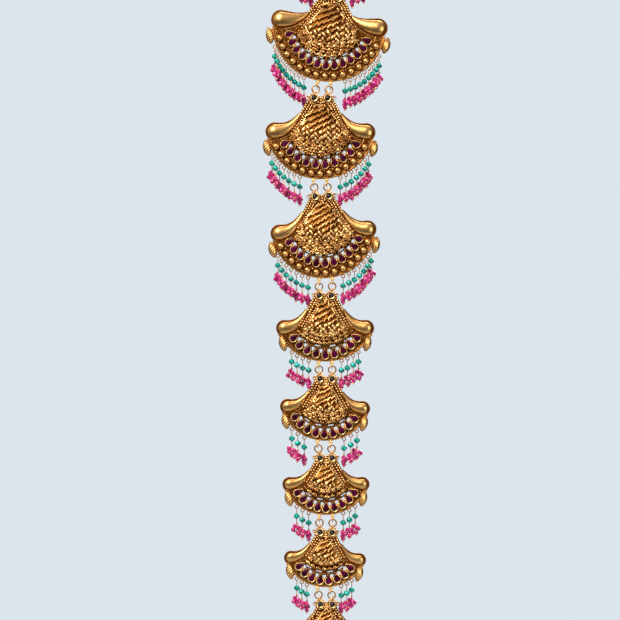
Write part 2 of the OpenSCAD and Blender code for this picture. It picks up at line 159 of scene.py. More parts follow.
# Bead drops: distances down from the eye, and each pink bead's place and turn in its cluster
GREEN_AT = 3.9
PINK_AT = 11.3
DROP_LEAN = 10.0
CLUSTER = ((0.1, -0.75, 0.1, 0), (-1.1, 0.45, 0.5, 38), (1.15, 0.75, -0.5, -38),
           (0.3, 1.75, 0.45, 12), (-0.75, 2.2, -0.5, -15))

# Stage, in metres and watts
VIEW_CENTRE = Vector((-10.85, 0, -224.5)) * MM
VIEW_DISTANCE = 1.5
VIEW_WIDTH = 0.31
SENSOR_WIDTH = 36
LIGHTS_AIM = (0, 0, -0.22)
BACKDROP = (0.716, 0.783, 0.840, 1)
FLOOR_COLOUR = (0.37, 0.40, 0.43, 1)
FLOOR_Z = -0.46
STUDIO_UP = (-0.3, 0.1, 0.65)
STUDIO_STOPS = (0.05, 0.45, 0.62, 0.9)
STUDIO_COLOURS = ((0.02, 0.02, 0.02), (0.09, 0.09, 0.095), (0.38, 0.39, 0.41), (1.0, 1.0, 1.0))
LIGHTS = (
    ("key", (-0.45, -0.9, 0.45), 0.6, 15.0, (1.0, 0.97, 0.92)),
    ("fill", (0.7, -0.7, -0.2), 0.6, 4.0, (0.95, 0.97, 1.0)),
    ("top", (0.1, 0.3, 0.5), 0.5, 6.0, (1.0, 0.98, 0.95)),
    ("back", (0.4, 1.0, 0.2), 0.7, 7.0, (1.0, 0.98, 0.95)),
)


def polar(r, angle):
    """A point at a radius and an angle from straight down, in degrees."""
    a = math.radians(angle)
    return np.array([r * math.sin(a), -r * math.cos(a)])


def unit(v):
    return v / np.linalg.norm(v, axis=-1, keepdims=True)


def turned(angle, v):
    """A flat vector, or a pair of arrays, turned anticlockwise by an angle in degrees."""
    a = math.radians(angle)
    c, s = math.cos(a), math.sin(a)
    return np.array([v[0] * c - v[1] * s, v[0] * s + v[1] * c])


def lengths_along(path):
    """Distance from a path's start to each of its points."""
    return np.concatenate([[0], np.cumsum(np.linalg.norm(np.diff(path, axis=0), axis=1))])


class Plaque:
    """One row of the table with the sizes that follow from it."""

    def __init__(self, number, row, hang):
        self.number = number
        self.__dict__.update(zip(COLUMNS.split(), row))
        self.large = self.balls > 0
        self.flank = 0.86 if self.large else 0.72
        self.stone_x = 3.4 if self.large else 3.0
        fall = math.sqrt((2 * RING_R) ** 2 - self.lean ** 2)
        self.at = np.array([hang[0] / MM + self.lean, hang[2] / MM - fall - BAIL_UP])
        self.arc_y = self.arc - self.height
        self.half = math.degrees(math.asin((self.width / 2 - EDGE_ENDS_IN) / self.arc))
        pears_in, dome_in, slits_in = LARGE_RINGS if self.large else SMALL_RINGS
        self.pear_y = self.arc_y + self.pear_r + self.inner - self.arc + pears_in
        self.dome_ring = self.arc - self.inner - dome_in
        self.slit_ring = self.arc - self.inner - slits_in
        reach = LOBE_REACH * self.width
        self.bulb_r = reach - LOBE_MARGIN
        end = self.on_arc(self.arc, self.half)
        self.bulb = np.array([reach - self.width / 2, end[1] + reach - BULB_DOWN])
        self.tail = np.array(LOBE_TAIL) * self.width
        self.bend = self.bulb + np.array(LOBE_BEND) * (self.tail - self.bulb)

    def on_arc(self, r, angle):
        """A point on a circle round the plaque's arc centre."""
        return np.array([0, self.arc_y]) + polar(r, angle)

    def arc_line(self, r, z, reach, steps=97):
        """Points along such a circle, from -reach to reach degrees."""
        return [(*self.on_arc(r, a), z) for a in np.linspace(-reach, reach, steps)]

    def by_pears(self, angle, inward=0.0):
        """A point on the circle that the pears stand on, or inward from it."""
        return np.array([0, self.pear_y]) + polar(self.pear_r - inward, angle)

    def pear_angles(self):
        return np.linspace(-self.pear_half, self.pear_half, self.stones)

    def ball_angles(self):
        return np.linspace(-self.spread - 2, self.spread + 2, self.balls)

    def drop_angles(self):
        return [self.end - i * self.pitch for i in range(self.drops)]

    def lobe_mid(self, t):
        """A point of the left lobe's middle line, from the bulb at t = 0 to the tail at t = 1."""
        return (1 - t) ** 2 * self.bulb + 2 * t * (1 - t) * self.bend + t * t * self.tail

    def lobe_along(self, t):
        v = (1 - t) * (self.bend - self.bulb) + t * (self.tail - self.bend)
        return v / np.linalg.norm(v)

    def lobe_side(self, t):
        along = self.lobe_along(t)
        return np.array([-along[1], along[0]])

    def lobe_half(self, t):
        return self.bulb_r * (1 - 0.9 * t ** 1.35)

    def lobe_edge(self, t, side, margin):
        """A point beside the left lobe's middle line, a margin outside the lobe."""
        return self.lobe_mid(t) + side * self.lobe_side(t) * (self.lobe_half(t) + margin)

    def neck_side(self):
        """The plate's right outline from the cup down to the lobe's tail."""
        lower = [(x * self.width, y * self.width) for x, y in NECK_SIDE]
        return [(self.stone_x + 1.6, 0.8)] + lower

    def dome_reach(self, angle, ring):
        """Distance from the dome's apex to a ring round the arc's centre, along a ray."""
        a = math.radians(angle)
        drop = DOME_APEX - self.arc_y
        return drop * math.cos(a) + math.sqrt(ring ** 2 - (drop * math.sin(a)) ** 2)

    def dome_height(self, u, v):
        """Height of the smooth dome at u across (-1 to 1) and v down (0 to 1)."""
        rise = 0.3 + 0.7 * np.sin(np.pi / 2 * v / DOME_CREST)
        fall = np.cos(np.radians(83) * (v - DOME_CREST) / (1 - DOME_CREST))
        along = np.where(v < DOME_CREST, rise, fall)
        across = 0.15 + 0.85 * np.sqrt(np.maximum(0, 1 - np.abs(u) ** 2.4))
        bulge = DOME_TOP * self.width - DOME_EDGE_HEIGHT
        return DOME_EDGE_HEIGHT + bulge * along * across

    def dome_point(self, u, v, inset=0.0, half=DOME_HALF):
        """A point on the dome's outer surface, or on its hollow when inset."""
        start = DOME_START + 2 * inset
        reach = self.dome_reach(half * u, self.dome_ring - inset)
        x, y = polar(start + (reach - start) * v, half * u)
        return np.array([x, y + DOME_APEX, float(self.dome_height(u, v)) - inset])

    def dome_place(self, points):
        """Where points of the paper lie on the dome: across, down, and how far from its apex."""
        away = points - [0, DOME_APEX]
        angle = np.degrees(np.arctan2(away[:, 0], -away[:, 1]))
        r = np.hypot(away[:, 0], away[:, 1])
        reach = np.array([self.dome_reach(a, self.dome_ring) for a in angle])
        return angle / DOME_HALF, (r - DOME_START) / (reach - DOME_START), r

    def dome_frame(self, u, v):
        """Matrix at a dome point: X across, Y up the dome, Z out of it."""
        step = 0.01
        across = self.dome_point(min(u + step, 1), v) - self.dome_point(max(u - step, -1), v)
        upward = self.dome_point(u, max(v - step, 0)) - self.dome_point(u, min(v + step, 1))
        out = unit(np.cross(across, upward))
        right = unit(np.cross(upward, out))
        matrix = np.eye(4)
        matrix[:3] = np.array([right, unit(np.cross(out, right)), out, self.dome_point(u, v)]).T
        return matrix


def inside(points, outline):
    """Which of the points lie in a closed outline."""
    x, y = points[:, :1], points[:, 1:2]
    a = np.asarray(outline, float)
    b = np.roll(a, -1, 0)
    crossed = (a[:, 1] > y) != (b[:, 1] > y)
    run = np.where(a[:, 1] == b[:, 1], 1.0, b[:, 1] - a[:, 1])
    meets = a[:, 0] + (y - a[:, 1]) * (b[:, 0] - a[:, 0]) / run
    return (crossed & (x < meets)).sum(1) % 2 == 1


def lattice(low, high, pitch, row_pitch, turn):
    """Staggered points over a rectangle, in rows that are turned by an angle."""
    n = int(np.hypot(*np.subtract(high, low)) / 2 / min(pitch, row_pitch)) + 2
    i, j = np.meshgrid(np.arange(-n, n + 1), np.arange(-n, n + 1), indexing="ij")
    spots = turned(turn, ((i + 0.5 * (j % 2)) * pitch, j * row_pitch))
    spots = spots.reshape(2, -1).T + np.add(low, high) / 2
    return spots[(spots >= low).all(1) & (spots <= high).all(1)]


def place(x, y, z, turn=0.0, size=1.0, tilt=0.0):
    """A matrix that scales, tilts about X, turns about Z and moves, in that order."""
    return np.array(
        Matrix.Translation((x, y, z))
        @ Matrix.Rotation(math.radians(turn), 4, "Z")
        @ Matrix.Rotation(math.radians(tilt), 4, "X")
        @ Matrix.Scale(size, 4)
    )


def grid_faces(rows, cols, wrap_rows=False, wrap_cols=False):
    """Quads between points that are stored row by row."""
    i, j = np.indices((rows - 1 + wrap_rows, cols - 1 + wrap_cols))
    below, beside = (i + 1) % rows, (j + 1) % cols
    quads = np.stack([i * cols + j, i * cols + beside, below * cols + beside, below * cols + j], -1)
    return quads.reshape(-1, 4)


class Form:
    """A mesh in paper millimetres with a value a vertex for wear and painted light: 0 is a dark recess
    (patina and painted shade), 1 a bright top (rubbed metal and a painted highlight).
    """

    def __init__(self):
        self.points, self.faces, self.wear_and_shading = [], [], []
        self.count = 0

    def add(self, points, faces, wear_and_shading):
        """Add points, a list of face arrays that each hold faces of one size, and their wear and
        painted shading.
        """
        points = np.asarray(points, float).reshape(-1, 3)
        self.points.append(points)
        self.faces += [np.asarray(f) + self.count for f in faces if len(f)]
        self.wear_and_shading.append(np.broadcast_to(np.asarray(wear_and_shading, float), len(points)).copy())
        self.count += len(points)
        return self

    def stamp(self, form, matrices, shift=0.0):
        """Add a copy of another form at each matrix."""
        points, wear_and_shading = np.vstack(form.points), np.concatenate(form.wear_and_shading)
        for n, m in enumerate(matrices):
            moved = points @ m[:3, :3].T + m[:3, 3]
            more = shift[n] if np.ndim(shift) else shift
            self.add(moved, form.faces, np.clip(wear_and_shading + more, 0, 1))
        return self

    def scatter(self, form, spots, z, shift=0.0):
        """Add a copy of another form at each spot of the paper, at one height."""
        return self.stamp(form, [place(x, y, z) for x, y in spots], shift)

    def mesh(self, name, plaque, sharp):
        """The Blender mesh, stood up where the plaque hangs."""
        points = np.vstack(self.points)
        right, up = turned(plaque.roll, points.T) + plaque.at[:, None]
        world = np.stack([right, -points[:, 2], up], 1) * MM
        sizes = np.concatenate([np.full(len(f), f.shape[1]) for f in self.faces])
        corners = np.concatenate([f.ravel() for f in self.faces])
        mesh = bpy.data.meshes.new(name)
        mesh.vertices.add(len(world))
        mesh.vertices.foreach_set("co", world.ravel())
        mesh.loops.add(len(corners))
        mesh.loops.foreach_set("vertex_index", corners.astype(np.int32))
        mesh.polygons.add(len(sizes))
        starts = np.cumsum(sizes) - sizes
        mesh.polygons.foreach_set("loop_start", starts.astype(np.int32))
        mesh.update(calc_edges=True)
        # Per-vertex wear and painted light for the gold materials: patina with painted shade where
        # low, rubbed metal with a painted highlight where high
        wear_and_shading = mesh.attributes.new("wear_and_shading", "FLOAT", "POINT")
        wear_and_shading.data.foreach_set("value", np.concatenate(self.wear_and_shading).astype(np.float32))
        mesh.shade_smooth()
        mesh.set_sharp_from_angle(angle=math.radians(sharp))
        mesh.validate()
        return mesh


def axes_along(path, closed, up):
    """Unit vectors to the side and to the top at each point of a path."""
    ahead, behind = np.roll(path, -1, 0), np.roll(path, 1, 0)
    if not closed:
        ahead[-1], behind[0] = path[-1], path[0]
    along = unit(ahead - behind)
    side = unit(np.cross(along, np.asarray(up, float)))
    return side, np.cross(side, along)


def sweep(form, path, section, wear_and_shading, closed=False, up=UP, size=None):
    """Carry a closed section of (side, up) offsets along a path; flat ends are capped."""
    path = np.asarray(path, float)
    side, top = axes_along(path, closed, up)
    sizes = np.ones(len(path)) if size is None else np.asarray(size, float)
    offsets = np.asarray(section, float) * sizes[:, None, None]
    points = path[:, None] + side[:, None] * offsets[..., :1] + top[:, None] * offsets[..., 1:]
    rows, cols = len(path), len(section)
    faces = [grid_faces(rows, cols, closed, True)]
    if not closed:
        first = np.arange(cols)
        faces += [first[None, ::-1], first[None] + (rows - 1) * cols]
    form.add(points, faces, np.tile(wear_and_shading, rows) if np.ndim(wear_and_shading) else wear_and_shading)


def wire(form, path, r, wear_and_shading, sides=8, closed=False, up=UP, size=None):
    """A round wire along a path."""
    a = np.arange(sides) * 2 * np.pi / sides
    sweep(form, path, np.stack([r * np.cos(a), r * np.sin(a)], 1), wear_and_shading, closed, up, size)


def ring(form, x, y, r, thick, wear_and_shading, sides, steps, across=True):
    """A ring of wire round the X axis, or round Z when not across."""
    a = np.arange(steps) * 2 * np.pi / steps
    c, s, o = r * np.cos(a), r * np.sin(a), np.zeros(steps)
    path = np.stack([o, c, s] if across else [c, s, o], 1) + [x, y, 0]
    wire(form, path, thick, wear_and_shading, sides, True, ACROSS if across else UP)


def revolved(profile, segs, wear_and_shading):
    """A surface turned about Z from (radius, height) pairs, bottom first; radius 0 is one point."""
    turn = np.arange(segs) * 2 * np.pi / segs
    points, worn_and_shaded, rings, faces = [], [], [], []
    for (r, z), w in zip(profile, wear_and_shading):
        circle = [(r * math.cos(t), r * math.sin(t), z) for t in turn[:segs if r else 1]]
        rings.append(len(points) + np.arange(segs) % len(circle))
        points += circle
        worn_and_shaded += [w] * len(circle)
    for low, high in zip(rings, rings[1:]):
        corners = [low, np.roll(low, -1), np.roll(high, -1), high]
        if low[0] == low[1]:
            del corners[1]
        if high[0] == high[1]:
            del corners[-2]
        faces.append(np.stack(corners, 1))
    return Form().add(points, faces, worn_and_shaded)


def bead_form(r, segs, rows, low, high, start=-90.0):
    """A ball, or the part of it above a latitude, coloured from low at its foot to high at its top:
    patina and painted shade below, rubbed metal and a painted highlight above.
    """
    lats = np.radians(np.linspace(start, 90, rows))
    profile = [(0 if abs(abs(a) - np.pi / 2) < 1e-6 else r * math.cos(a), r * math.sin(a))
               for a in lats]
    wear_and_shading = [low + (high - low) * (i / (rows - 1)) ** 0.6 for i in range(rows)]
    return revolved(profile, segs, wear_and_shading)


def flat_triangles(outer, holes):
    """Points and anticlockwise triangles of the union of the outer outlines less the holes."""
    coords, loops = [], []
    for outline in outer + holes:
        loops.append(list(range(len(coords), len(coords) + len(outline))))
        coords += [Vector(q) for q in outline]
    found = delaunay_2d_cdt(coords, [], loops, 1, 1e-4)
    points, faces, owners = found[0], found[2], found[5]
    kept = np.array([face for face, own in zip(faces, owners) if own and max(own) < len(outer)])
    flat = np.array([tuple(q) for q in points])
    area = np.cross(flat[kept[:, 1]] - flat[kept[:, 0]], flat[kept[:, 2]] - flat[kept[:, 0]])
    kept[area < 0] = kept[area < 0][:, ::-1]
    return flat, kept


def flat_slab(form, outer, holes, low, high, wear_and_shading, back):
    """A flat plate: the union of the outer outlines less the holes, with a back of its own wear and
    painted shading.
    """
    flat, kept = flat_triangles(outer, holes)
    n = len(flat)
    top, bottom = [np.column_stack([flat, np.full(n, z)]) for z in (high, low)]
    form.add(top, [kept], wear_and_shading)
    form.add(bottom, [kept[:, ::-1]], back)
    edges = np.concatenate([kept[:, [0, 1]], kept[:, [1, 2]], kept[:, [2, 0]]])
    known = {tuple(e) for e in edges}
    rim = np.array([e for e in edges if (e[1], e[0]) not in known])
    walls = np.stack([rim[:, 1], rim[:, 0], rim[:, 0] + n, rim[:, 1] + n], 1)
    form.add(np.vstack([top, bottom]), [walls], wear_and_shading)


def smooth_path(points, steps, closed=False):
    """A smooth line through control points."""
    pts = np.array(points, float)
    if closed:
        pts = np.vstack([pts[-1:], pts, pts[:2]])
    else:
        pts = np.vstack([2 * pts[0] - pts[1], pts, 2 * pts[-1] - pts[-2]])
    t = np.arange(steps)[:, None] / steps
    spans = [0.5 * (2 * b + (c - a) * t + (2 * a - 5 * b + 4 * c - d) * t * t
                    + (3 * b - a - 3 * c + d) * t ** 3)
             for a, b, c, d in zip(pts, pts[1:], pts[2:], pts[3:])]
    return np.vstack(spans if closed else spans + [pts[-2]])


# ---- materials ----

GOLD_STOPS = (0.08, 0.5, 0.92)
STONE_STOPS = (0.32, 0.5, 0.68)
MOTTLE = 0.36
WEAR_WITHOUT_MESH = 0.72


def fill(made, **values):
    """Set a node's sockets, or its own settings, by name."""
    for key, value in values.items():
        if key in made.inputs:
            made.inputs[key].default_value = value
        else:
            setattr(made, key, value)
    return made


def node(tree, kind, **values):
    return fill(tree.nodes.new(kind), **values)


def ramp(tree, source, places, colours):
    """A colour ramp with a colour at each place."""
    made = tree.nodes.new("ShaderNodeValToRGB")
    line = made.color_ramp
    while len(line.elements) < len(places):
        line.elements.new(0.5)
    for element, at, colour in zip(line.elements, places, colours):
        element.position = at
        element.color = (*colour, 1)
    tree.links.new(source, made.inputs[0])
    return made.outputs["Color"]


def new_material(name):
    made = bpy.data.materials.new(name)
    made.use_nodes = True
    tree = made.node_tree
    return made, tree, tree.nodes["Principled BSDF"]


def object_noise(tree, **values):
    """Noise over the object's own coordinates."""
    where = node(tree, "ShaderNodeTexCoord")
    noise = node(tree, "ShaderNodeTexNoise", **values)
    tree.links.new(where.outputs["Object"], noise.inputs["Vector"])
    return noise.outputs["Fac"]


def uneven_wear_and_shading(tree, noise, worn_and_shaded):
    """The mesh's wear and painted shading, or one value for metal that has none, made uneven by noise.
    """
    spread = node(tree, "ShaderNodeMath", operation="MULTIPLY_ADD")
    spread.inputs[1].default_value = MOTTLE
    spread.inputs[2].default_value = -MOTTLE / 2
    tree.links.new(noise, spread.inputs[0])
    mixed = node(tree, "ShaderNodeMath", operation="ADD", use_clamp=True)
    mixed.inputs[0].default_value = WEAR_WITHOUT_MESH
    if worn_and_shaded:
        wear_and_shading = node(tree, "ShaderNodeAttribute", attribute_name="wear_and_shading")
        tree.links.new(wear_and_shading.outputs["Fac"], mixed.inputs[0])
    tree.links.new(spread.outputs[0], mixed.inputs[1])
    return mixed.outputs[0]


def gold_material(name, dark, middle, bright, roughness, grain, bump, worn_and_shaded=True):
    """Antique gold: patina and painted shade in the recesses, bright metal and painted highlights on
    the tops.
    """
    made, tree, shader = new_material(name)
    link = tree.links.new
    noise = object_noise(tree, Scale=grain, Detail=4.0, Roughness=0.6)
    wear_and_shading = uneven_wear_and_shading(tree, noise, worn_and_shaded)
    link(ramp(tree, wear_and_shading, GOLD_STOPS, (dark, middle, bright)), shader.inputs["Base Color"])
    rough = node(tree, "ShaderNodeMapRange", **{"To Min": roughness[0], "To Max": roughness[1]})
    link(wear_and_shading, rough.inputs["Value"])
    link(rough.outputs[0], shader.inputs["Roughness"])
    fill(shader, Metallic=1.0)
    bumps = node(tree, "ShaderNodeBump", Strength=bump, Distance=0.0002)
    link(noise, bumps.inputs["Height"])
    link(bumps.outputs["Normal"], shader.inputs["Normal"])
    return made


def stone_material(name, deep, colour, light, metallic, rough, scale):
    """A glossy stone or glass with uneven colour inside."""
    made, tree, shader = new_material(name)
    noise = object_noise(tree, Scale=scale, Detail=2.0)
    tint = ramp(tree, noise, STONE_STOPS, (deep, colour, light))
    tree.links.new(tint, shader.inputs["Base Color"])
    fill(shader, Metallic=metallic, Roughness=rough, IOR=1.5)
    return made


ANTIQUE = gold_material(
    "antique_gold", (0.02, 0.004, 0.0004), (0.42, 0.14, 0.018), (1.0, 0.65, 0.25),
    (0.5, 0.28), 900.0, 0.25)
POLISHED = gold_material(
    "polished_gold", (0.05, 0.013, 0.002), (0.40, 0.16, 0.032), (0.66, 0.37, 0.12),
    (0.4, 0.3), 350.0, 0.08)
BRIGHT = gold_material(
    "bright_gold", (0.08, 0.022, 0.003), (0.56, 0.25, 0.05), (1.0, 0.66, 0.26),
    (0.45, 0.28), 900.0, 0.15)
WIRE_GOLD = gold_material(
    "wire_gold", (0.08, 0.024, 0.003), (0.27, 0.10, 0.016), (0.55, 0.28, 0.08),
    (0.4, 0.28), 700.0, 0.1, worn_and_shaded=False)
RUBY = stone_material(
    "ruby", (0.014, 0.0003, 0.005), (0.065, 0.0004, 0.022), (0.15, 0.0008, 0.05),
    0.35, 0.12, 500.0)
GARNET = stone_material(
    "dark_garnet", (0.002, 0.0005, 0.001), (0.005, 0.001, 0.003), (0.01, 0.002, 0.006),
    0.0, 0.08, 400.0)
GREEN = stone_material(
    "green_glass", (0.0, 0.12, 0.09), (0.0, 0.28, 0.21), (0.01, 0.46, 0.36),
    0.35, 0.2, 700.0)
PINK = stone_material(
    "pink_glass", (0.24, 0.003, 0.065), (0.50, 0.013, 0.16), (0.76, 0.09, 0.31),
    0.15, 0.2, 800.0)


def piece(name, form, plaque, material, slot, nodes, sharp=50.0):
    """Make an object of a form, on its plaque's body, in place of CAD nodes."""
    mesh = form.mesh(name, plaque, sharp)
    mesh.materials.append(material)
    made = bpy.data.objects.new(name, mesh)
    bpy.context.scene.collection.objects.link(made)
    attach(made, "plaque_%d" % plaque.number)
    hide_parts(*nodes)


# ---- the plaque's metal ----

def lobe_outline(p, shift):
    """Outline of a left lobe with its margin of plate, grown by a shift."""
    def flank(t, side):
        return p.lobe_edge(t, side, LOBE_MARGIN * (1 - 0.65 * t) + shift)

    ts = np.linspace(0, 1, 13)
    start = p.lobe_along(0)
    reach = p.bulb_r + LOBE_MARGIN + shift
    cap = [p.bulb + turned(-90 - a, start) * reach for a in range(15, 180, 15)]
    outline = [flank(t, 1) for t in ts] + [flank(t, -1) for t in ts[::-1]] + cap
    return [tuple(q) for q in outline]


def mirrored(outline):
    return [(-x, y) for x, y in outline][::-1]


def plate_outline(p):
    line = [(-q[0], q[1]) for q in (p.lobe_mid(t) for t in (0.9, 0.7, 0.5, 0.25, 0))]
    edge = [tuple(p.on_arc(p.arc - RIM_W / 2, a)) for a in np.linspace(p.half, -p.half, 49)]
    upper = p.neck_side() + line
    return upper + edge + [(-x, y) for x, y in upper[::-1]]


def hollow_outline(p):
    us = np.linspace(-1, 1, 17)
    places = [(u, 1.0) for u in us] + [(u, 0.0) for u in us[::-1]]
    return [tuple(p.dome_point(u, v, HOLLOW_WALL, HOLLOW_HALF)[:2]) for u, v in places]


def gap_shape():
    """Pierced gap between two pears' points, narrow toward the edge."""
    corners = [(0.0, -1.15), (0.5, -0.2), (0.85, 0.7), (0.35, 0.95), (-0.35, 0.95), (-0.85, 0.7),
               (-0.5, -0.2)]
    return smooth_path(corners, 2, True)


def slit_shape():
    """A slit with round ends, across."""
    end = [(1.15 + 0.32 * math.cos(a), 0.32 * math.sin(a)) for a in np.radians([-60, 0, 60])]
    return end + [(-x, -y) for x, y in end]


def placed(at, turn, outline):
    """An outline turned and moved to its place on the paper."""
    return [tuple(at + turned(turn, q)) for q in outline]


def gap_outlines(p, size):
    """Outlines of the gaps between the pears' points and of the slits under the dome."""
    angles = p.pear_angles()
    gap, slit = np.multiply(gap_shape(), size), np.multiply(slit_shape(), size)
    gaps = [placed(p.by_pears(a, GAPS_IN), a, gap) for a in (angles[1:] + angles[:-1]) / 2]
    return gaps + [placed(p.on_arc(p.slit_ring, a), a, slit) for a in SLIT_ANGLES]


def plate(p):
    """Backing plate, its rim, the wires beside slits, rim and lobes, and the ridge."""
    form = Form()
    left = lobe_outline(p, 0.0)
    holes = [hollow_outline(p)] + gap_outlines(p, 1.0)
    # Painted light: the front's low value is patina with painted shade, and the back is coloured
    # brighter than the front to stand in for light it doesn't get
    flat_slab(form, [plate_outline(p), left, mirrored(left)], holes,
              -PLATE_FRONT, PLATE_FRONT, wear_and_shading=0.25, back=0.55)
    sweep(form, p.arc_line(p.arc - RIM_W / 2, 0, p.half), RIM_SECTION, RIM_WEAR_AND_SHADING)
    reach = 48 if p.large else 37
    for shift in (-0.85, 0.85):
        wire(form, p.arc_line(p.slit_ring + shift, 0.5, reach, 60), 0.26, wear_and_shading=0.8, sides=6)
    # Painted highlight: these wires along the curved edge are coloured near full brightness, though
    # they face down into shade
    wire(form, p.arc_line(p.arc - RIM_W - 0.25, 0.55, p.half), 0.24, wear_and_shading=0.9, sides=6)
    wire(form, p.arc_line(p.arc - 0.12, 0.55, p.half), 0.2, wear_and_shading=0.95, sides=6)
    for flip in (1, -1):
        # Wire round the lobe, coloured dark: patina with painted shade in the groove
        edge = smooth_path([(x * flip, y, 0.3) for x, y in lobe_outline(p, -0.3)], 2, True)
        wire(form, edge, 0.32, wear_and_shading=0.25, closed=True)
        # Painted highlight: a thin wire along the lobe's lower edge, coloured bright
        lower = [p.lobe_edge(t, -1, 0.75) for t in np.linspace(0.1, 1, 22)]
        wire(form, [(x * flip, y, 0.5) for x, y in lower], 0.2, wear_and_shading=0.95, sides=6)
    if p.large:
        wire(form, p.arc_line(p.arc - RIDGE_IN, 0.55, p.half - 3), 0.3, wear_and_shading=0.6)
    return form


def ball_row(p):
    """Gold balls along the edge, each in a collar, with a grain between each two."""
    form = Form()
    angles = p.ball_angles()
    at = [p.on_arc(p.arc - BALLS_IN, a) for a in angles]
    form.scatter(bead_form(BALL_R, 18, 8, 0.1, 0.75, -50), at, BALL_Z)
    form.scatter(revolved(COLLAR, 18, COLLAR_WEAR_AND_SHADING), at, 0)
    grain = bead_form(0.42, 8, 5, 0.4, 0.9, -30)
    between = (angles[1:] + angles[:-1]) / 2
    for inward, z in ((1.55, 0.75), (4.05, 0.7)):
        form.scatter(grain, [p.on_arc(p.arc - inward, a) for a in between], z)
    return form


def lobe_row(mid, side, half, arch):
    """An arched section across a lobe."""
    tops = 0.3 + 0.25 * np.sin(arch) ** 0.3 + 0.62 * half * np.sin(arch) ** 0.8
    return [(*(mid + side * half * math.cos(a)), z) for a, z in zip(arch, tops)]


def lobes(p):
    """The two polished shoulder lobes, bright along the crest and dark at the edges as a painted
    highlight and painted shade.
    """
    form = Form()
    arch = np.radians(np.linspace(0, 180, 15))
    along, side = p.lobe_along(0), p.lobe_side(0)
    rows = [lobe_row(p.bulb - along * p.bulb_r * math.cos(a), side, p.bulb_r * math.sin(a), arch)
            for a in np.radians(LOBE_CAP)]
    rows += [lobe_row(p.lobe_mid(t), p.lobe_side(t), p.lobe_half(t), arch)
             for t in np.linspace(0, 1, 22)]
    points = np.array(rows)
    # Painted highlight and shade: brightest along the crest, dark at the edges
    wear_and_shading = np.tile(0.15 + 0.75 * np.sin(arch) ** 0.35, len(rows))
    faces = [grid_faces(len(rows), len(arch)), np.arange(len(arch))[None, ::-1]]
    form.add(points, faces, wear_and_shading)
    form.add(points * [-1, 1, 1], [f[:, ::-1] for f in faces], wear_and_shading)
    return form


def scale_form(length, width, height):
    """A curved scale that points down, with a high ridge along its left side, coloured bright on the
    ridge and dark at its edges and ends: rubbed wear with painted highlight and shade.
    """
    points, wear_and_shading = [], []
    for t in SCALE_DOWN:
        half = width / 2 * math.sin(math.pi * (0.1 + 0.82 * t)) ** 0.7
        lift = 0.15 + height * (0.5 + 0.5 * math.sin(math.pi * (0.1 + 0.75 * t)))
        bow = 0.16 * length * (2 * t - 1) ** 2
        end = t in (0.0, 1.0)
        for s, high, worn_and_shaded in zip(SCALE_ACROSS, SCALE_LIFT, SCALE_WEAR_AND_SHADING):
            z = -0.3 if end or abs(s) == 1 else lift * high
            points.append((s * half + bow, length * (0.5 - t), z))
            wear_and_shading.append(0.0 if end else worn_and_shaded)
    return Form().add(points, [grid_faces(len(SCALE_DOWN), len(SCALE_ACROSS))[:, ::-1]], wear_and_shading)


def petal_form(length, width, height, rows=6):
    """A small rounded leaf that points down."""
    points, wear_and_shading = [], []
    for i in range(rows):
        t = i / (rows - 1)
        half = width / 2 * math.sin(math.pi * (0.08 + 0.88 * t)) ** 0.8
        lift = 0.15 + height * math.sin(math.pi * (0.2 + 0.6 * t))
        for s, body in PETAL_ACROSS:
            z = -0.3 if i in (0, rows - 1) or not body else lift * body
            points.append((s * half, length * (0.5 - t), z))
            # Brighter along the middle, darker at the edges: rubbed metal and patina with a painted
            # highlight and painted shade
            wear_and_shading.append(0.1 + 0.9 * body)
    return Form().add(points, [grid_faces(rows, len(PETAL_ACROSS))[:, ::-1]], wear_and_shading)


def floret_form():
    """Three small petals that spread from one grain."""
    form = Form()
    petal = petal_form(2.2, 1.25, 0.9)
    for turn in (-50, 0, 50):
        at = turned(turn, (0, -1.0))
        form.stamp(petal, [place(at[0], at[1], 0, turn)])
    return form.scatter(bead_form(0.45, 7, 5, 0.3, 1.0, -30), [(0, 0.2)], 0.4)


def add_skin(form, p, across, down, inset, half, foot):
    """The dome's outer skin, or the skin of its hollow when inset, with walls to the foot."""
    us, vs = np.linspace(-1, 1, across), np.linspace(0, 1, down)
    skin = np.array([[p.dome_point(u, v, inset, half) for v in vs] for u in us])
    for axis in (1, 0):
        feet = skin.take([0, -1], axis) * [1, 1, 0] + [0, 0, foot]
        first, last = np.split(feet, 2, axis)
        skin = np.concatenate([first, skin, last], axis)
    faces = grid_faces(*skin.shape[:2])
    # The dome's skin is coloured dark under the relief: patina with painted shade
    form.add(skin, [faces if inset else faces[:, ::-1]], 0.3)


def dome(p, seed):
    """Dome shell, its hollow, the relief over it, and the rope round its foot."""
    form = Form()
    rng = np.random.default_rng(seed)
    add_skin(form, p, 41, 27, 0.0, DOME_HALF, DOME_FOOT)
    add_skin(form, p, 17, 13, HOLLOW_WALL, HOLLOW_HALF, -PLATE_FRONT)
    add_scales(form, p, rng)
    add_florets(form, p, rng)
    add_flanks(form, p, rng)
    reach = 64 if p.large else 50
    rope(form, p.arc_line(p.dome_ring + 0.15, 1.45, reach, 120), 0.4)
    return form


